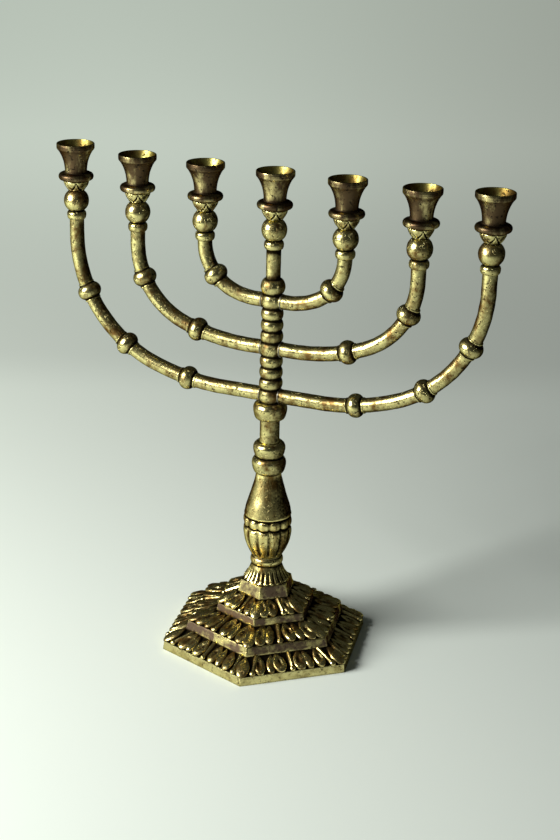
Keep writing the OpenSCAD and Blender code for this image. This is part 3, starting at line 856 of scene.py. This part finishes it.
# %% Build the brass materials
def brass(name, bright, tarnish, grime, tarnished, grimy, specks, pits, stretch,
          bump=0.25, rings=0.0, lift=0.0):
    """bump is the relief's strength, rings the lathe marks' share of it, lift adds roughness."""
    material = bpy.data.materials.get(name) or bpy.data.materials.new(name)
    material.use_nodes = True
    tree = nodes, links = material.node_tree.nodes, material.node_tree.links
    shader = nodes["Principled BSDF"]
    shader.inputs["Metallic"].default_value = 1.0
    shader.inputs["Specular Tint"].default_value = (0.12, 0.11, 0.08, 1)  # dull where seen edge on
    aged = nodes.new("ShaderNodeGroup")
    aged.node_tree = aged_brass
    for label, colour in (("Bright", bright), ("Tarnish", tarnish), ("Grime", grime)):
        aged.inputs[label].default_value = (*colour, 1)
    for label, value in (("Tarnish Amount", tarnished), ("Grime Level", grimy),
                         ("Speck Amount", specks), ("Pit Depth", pits), ("Stretch", stretch)):
        aged.inputs[label].default_value = value
    wear_and_shade = add(nodes, "ShaderNodeAttribute", attribute_name="wear_and_shade")
    links.new(wear_and_shade.outputs["Fac"], aged.inputs["Wear and shade"])
    links.new(aged.outputs["Color"], shader.inputs["Base Color"])
    rough, height = aged.outputs["Roughness"], aged.outputs["Height"]
    if lift:
        rough = calculate(*tree, "ADD", rough, lift)
    links.new(rough, shader.inputs["Roughness"])
    if rings:
        place = add(nodes, "ShaderNodeTexCoord")
        wave = add(nodes, "ShaderNodeTexWave", bands_direction="Z", Scale=260.0, Distortion=1.5,
                   Detail=2.0)
        links.new(place.outputs["Object"], wave.inputs["Vector"])
        height = calculate(*tree, "MULTIPLY_ADD", wave.outputs["Fac"], rings, height)
    bumps = add(nodes, "ShaderNodeBump", Strength=bump, Distance=0.3 * MM)
    links.new(height, bumps.inputs["Height"])
    links.new(bumps.outputs["Normal"], shader.inputs["Normal"])
    return material


# Dark grime colour for the grooves; on the collar, baluster, rings, stem, column and arms it also paints
# shade on sides and undersides
GRIME_AND_SHADE = (0.012, 0.008, 0.003)
YELLOW = (0.62, 0.545, 0.235)
BROWN = (0.17, 0.098, 0.03)
cast_brass = brass("cast brass", YELLOW, BROWN, GRIME_AND_SHADE, bump=0.7,
                   tarnished=0.37, grimy=0.48, specks=0.85, pits=1.8, stretch=0.8)
lobed_brass = brass("lobed brass", (0.88, 0.75, 0.31), (0.20, 0.115, 0.028), GRIME_AND_SHADE, bump=0.4,
                    lift=-0.04, tarnished=0.40, grimy=0.50, specks=1.0, pits=2.4, stretch=0.22)
leaf_brass = brass("leaf brass", (0.92, 0.79, 0.34), (0.28, 0.175, 0.055), (0.03, 0.019, 0.007),
                   bump=0.5, tarnished=0.42, grimy=0.36, specks=0.5, pits=1.4, stretch=1.0)
turned_brass = brass("turned brass", (0.62, 0.52, 0.235), (0.09, 0.058, 0.03), (0.02, 0.015, 0.01),
                     rings=0.25, tarnished=0.56, grimy=0.3, specks=1.0, pits=0.9, stretch=0.35)
mouth_brass = brass("cup mouth", (0.40, 0.36, 0.10), (0.13, 0.08, 0.02), (0.02, 0.015, 0.006),
                    bump=0.22, lift=0.1, tarnished=0.46, grimy=0.3, specks=0.8, pits=0.8, stretch=0.5)
brass("foot plinth", (0.66, 0.58, 0.26), (0.34, 0.27, 0.10), GRIME_AND_SHADE, bump=0.9,
      lift=0.05, tarnished=0.42, grimy=0.15, specks=0.6, pits=1.6, stretch=1.0)
brass("foot band", (0.80, 0.68, 0.28), (0.17, 0.115, 0.078), GRIME_AND_SHADE, bump=0.4,
      tarnished=0.56, grimy=0.3, specks=0.6, pits=1.0, stretch=1.0)
brass("foot ground", (0.24, 0.17, 0.07), (0.09, 0.062, 0.026),
      (0.015, 0.011, 0.005), bump=0.6, lift=0.2,
      tarnished=0.5, grimy=0.5, specks=0.4, pits=1.0, stretch=1.0)
brass("foot inside", (0.30, 0.22, 0.10), (0.16, 0.10, 0.05), GRIME_AND_SHADE, bump=0.8,
      lift=0.2, tarnished=0.5, grimy=0.3, specks=0.5, pits=1.5, stretch=1.0)
print("finishes that use aged brass:", aged_brass.users)

# %% [markdown]
# ## Solder and steel
#
# Solder is soft, grey and lumpy. The hidden rod, washer and nut are plain zinc-coated steel:
# the coating grows in crystals, so a cell pattern varies its colour and gloss slightly.

# %% Solder and steel materials
def grey_metal(name, light, deep, scale, rough, cells=False):
    material = bpy.data.materials.new(name)
    material.use_nodes = True
    nodes, links = material.node_tree.nodes, material.node_tree.links
    shader = nodes["Principled BSDF"]
    shader.inputs["Metallic"].default_value = 1.0
    place = add(nodes, "ShaderNodeTexCoord")
    kind = "ShaderNodeTexVoronoi" if cells else "ShaderNodeTexNoise"
    pattern = add(nodes, kind, Scale=scale)
    links.new(place.outputs["Object"], pattern.inputs["Vector"])
    value = pattern.outputs["Distance" if cells else "Fac"]
    ramp = add(nodes, "ShaderNodeValToRGB")
    ramp.color_ramp.elements[0].color = (*deep, 1)
    ramp.color_ramp.elements[1].color = (*light, 1)
    ramp.color_ramp.elements[0].position, ramp.color_ramp.elements[1].position = 0.25, 0.7
    links.new(value, ramp.inputs["Fac"])
    links.new(ramp.outputs["Color"], shader.inputs["Base Color"])
    gloss = calculate(nodes, links, "MULTIPLY_ADD", value, 0.2, rough)
    links.new(gloss, shader.inputs["Roughness"])
    bumps = add(nodes, "ShaderNodeBump", Strength=0.3, Distance=0.2 * MM)
    links.new(value, bumps.inputs["Height"])
    links.new(bumps.outputs["Normal"], shader.inputs["Normal"])
    return material


solder_grey = grey_metal("solder", (0.42, 0.40, 0.32), (0.10, 0.08, 0.05), 700, 0.35)
zinc_steel = grey_metal("zinc steel", (0.62, 0.63, 0.64), (0.42, 0.43, 0.44), 500, 0.3, cells=True)
print("grey metals ready")

# %% Put the finishes on the pieces
def finish_with(piece, material):
    piece.data.materials.clear()
    piece.data.materials.append(material)


mark_wear_and_shade(foot, reach=0.6, spread=1)
for made in friezes:
    finish_with(made, leaf_brass)
# The last amount in each call below paints shade on the sides and undersides of these pieces, the arms and
# cups included.
for piece, material in ((collar, lobed_brass), (baluster, lobed_brass), (column, cast_brass)):
    mark_wear_and_shade(piece, reach=1.6, spread=2, facing_shade=0.2)
    finish_with(piece, material)
for piece in (rings, stem):
    mark_wear_and_shade(piece, reach=1.6, spread=1, facing_shade=0.25)
    finish_with(piece, cast_brass)
for arm in arms.values():
    mark_wear_and_shade(arm, reach=1.6, spread=2, facing_shade=0.3)
    finish_with(arm, cast_brass)
for made in cups.values():
    mark_wear_and_shade(made, reach=1.0, spread=1, facing_shade=0.2)
    finish_with(made, turned_brass)
    made.data.materials.append(mouth_brass)
    lip = max(v.co.z for v in made.data.vertices)
    middle = sum((v.co for v in made.data.vertices), Vector()) / len(made.data.vertices)
    for face in made.data.polygons:
        outward = face.center - Vector((middle.x, middle.y, face.center.z))
        facing_in = face.normal.dot(outward) < 0
        face.material_index = int(facing_in and face.center.z > lip - 17 * MM)
mark_wear_and_shade(solder)
finish_with(solder, solder_grey)
for node in ("tie_rod", "tie_washer", "tie_nut"):
    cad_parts[node].data.materials.clear()
    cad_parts[node].data.materials.append(zinc_steel)
print("finishes are on")

# %% [markdown]
# ## Tie the pieces to the frame
#
# Everything but the cups is one rigid stand. Each cup unscrews on its own, so it rides on its
# own body.

# %% Ride and replace
for piece, node in ((foot, "foot_casting"), (collar, "foot_collar"), (baluster, "baluster"),
                    (rings, "ring_collar"), (stem, "stem"), (column, "column")):
    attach(piece, "stand")
    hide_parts(node)
for made in friezes + [solder]:
    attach(made, "stand")
for (pair, side), arm in arms.items():
    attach(arm, "stand")
    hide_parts("arm_%s_%s" % (pair, side))
for node, made in cups.items():
    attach(made, "cup_body_" + node[len("cup_"):])
    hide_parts(node)

# %% [markdown]
# ## Floor, light and camera
#
# The stand is on a pale floor with painted light: far behind the stand it glows of its own,
# its colour is painted a little darker towards the right, and it steps darker about half a
# metre behind the stand. Metal shows what is around it, so the room is kept dark: one large
# soft panel stands on the left, like a window, and the floor throws its light back up into the brass.

# %% Floor
VIEW_TURN = math.radians(22.32)
clear_selection()
bpy.ops.mesh.primitive_plane_add(size=14)
floor = bpy.context.object
floor.name = "floor"
paper = bpy.data.materials.new("pale paper with painted light")
paper.use_nodes = True
tree = nodes, links = paper.node_tree.nodes, paper.node_tree.links
sheet = nodes["Principled BSDF"].inputs
sheet["Roughness"].default_value = 0.9
sheet["Specular IOR Level"].default_value = 0.1
sheet["Emission Strength"].default_value = 1.0
place = add(nodes, "ShaderNodeTexCoord")
turned = add(nodes, "ShaderNodeMapping")
turned.inputs["Rotation"].default_value = (0, 0, -VIEW_TURN)
links.new(place.outputs["Object"], turned.inputs["Vector"])
split = add(nodes, "ShaderNodeSeparateXYZ")
links.new(turned.outputs["Vector"], split.inputs["Vector"])
sideways, behind = split.outputs["X"], split.outputs["Y"]
aside = calculate(*tree, "DIVIDE", sideways, calculate(*tree, "MAXIMUM", behind, 0.3))


def ramp(value, low, high, first, last):
    """Fades from one colour to another as a value goes from low to high."""
    return mix_colours(*tree, fade(*tree, value, low, high), (*first, 1), (*last, 1))


# Painted light: the floor glows of its own, more the further behind the stand, and less towards the right.
painted_glow = mix_colours(*tree, 1.0, ramp(behind, 0.1, 1.5, (0, 0, 0), (0.44, 0.495, 0.43)),
                   ramp(aside, -0.2, 0.35, (1, 1, 1), (0.62, 0.60, 0.60)), "MULTIPLY")
links.new(painted_glow, sheet["Emission Color"])
# Painted shade: the floor's colour is a little darker towards the right; it also steps darker about half a
# metre behind the stand.
paper_with_painted_shade = mix_colours(*tree, 1.0, ramp(behind, 0.40, 0.52, (0.83, 0.90, 0.84), (0.72, 0.78, 0.73)),
                          ramp(sideways, -0.3, 0.35, (1, 1, 1), (0.95, 0.95, 0.97)), "MULTIPLY")
links.new(paper_with_painted_shade, sheet["Base Color"])
floor.data.materials.append(paper)
print("floor laid")

# %% Lights
def panel(name, place, aim, size, power, colour=(1, 1, 1)):
    data = bpy.data.lights.new(name, "AREA")
    data.shape, data.size, data.size_y = "RECTANGLE", size[0], size[1]
    data.energy, data.color = power, colour
    lamp = bpy.data.objects.new(name, data)
    lamp.location = place
    lamp.rotation_euler = (Vector(aim) - Vector(place)).to_track_quat("-Z", "Y").to_euler()
    bpy.context.scene.collection.objects.link(lamp)
    return lamp


panel("window panel", (-0.70, -0.74, 0.62), (0, 0, 0.1), (0.6, 0.6), 23, (1.0, 1.0, 0.95))
world = bpy.data.worlds.new("studio")
bpy.context.scene.world = world
world.use_nodes = True
world.node_tree.nodes["Background"].inputs["Color"].default_value = (0.55, 0.60, 0.55, 1)
world.node_tree.nodes["Background"].inputs["Strength"].default_value = 0.06
print("lights placed")

# %% Camera
PITCH, ROLL = math.radians(21.02), math.radians(-1.46)
right = Vector((math.cos(VIEW_TURN), math.sin(VIEW_TURN), 0))
level = Vector((-math.sin(VIEW_TURN), math.cos(VIEW_TURN), 0))
ahead = level * math.cos(PITCH) - Vector((0, 0, math.sin(PITCH)))
down = -Vector((0, 0, math.cos(PITCH))) - level * math.sin(PITCH)
across = right * math.cos(ROLL) + down * math.sin(ROLL)
below = down * math.cos(ROLL) - right * math.sin(ROLL)
camera = bpy.data.objects.new("camera", bpy.data.cameras.new("camera"))
camera.data.lens, camera.data.sensor_width = 73.23, 36
camera.data.clip_start, camera.data.clip_end = 0.05, 50
camera.matrix_world = Matrix.Translation((0.3468, -0.8298, 0.4827)) @ \
    Matrix((across, -below, -ahead)).transposed().to_4x4()
bpy.context.scene.collection.objects.link(camera)
bpy.context.scene.camera = camera
bpy.context.scene.view_settings.view_transform = "Standard"
print("camera set")
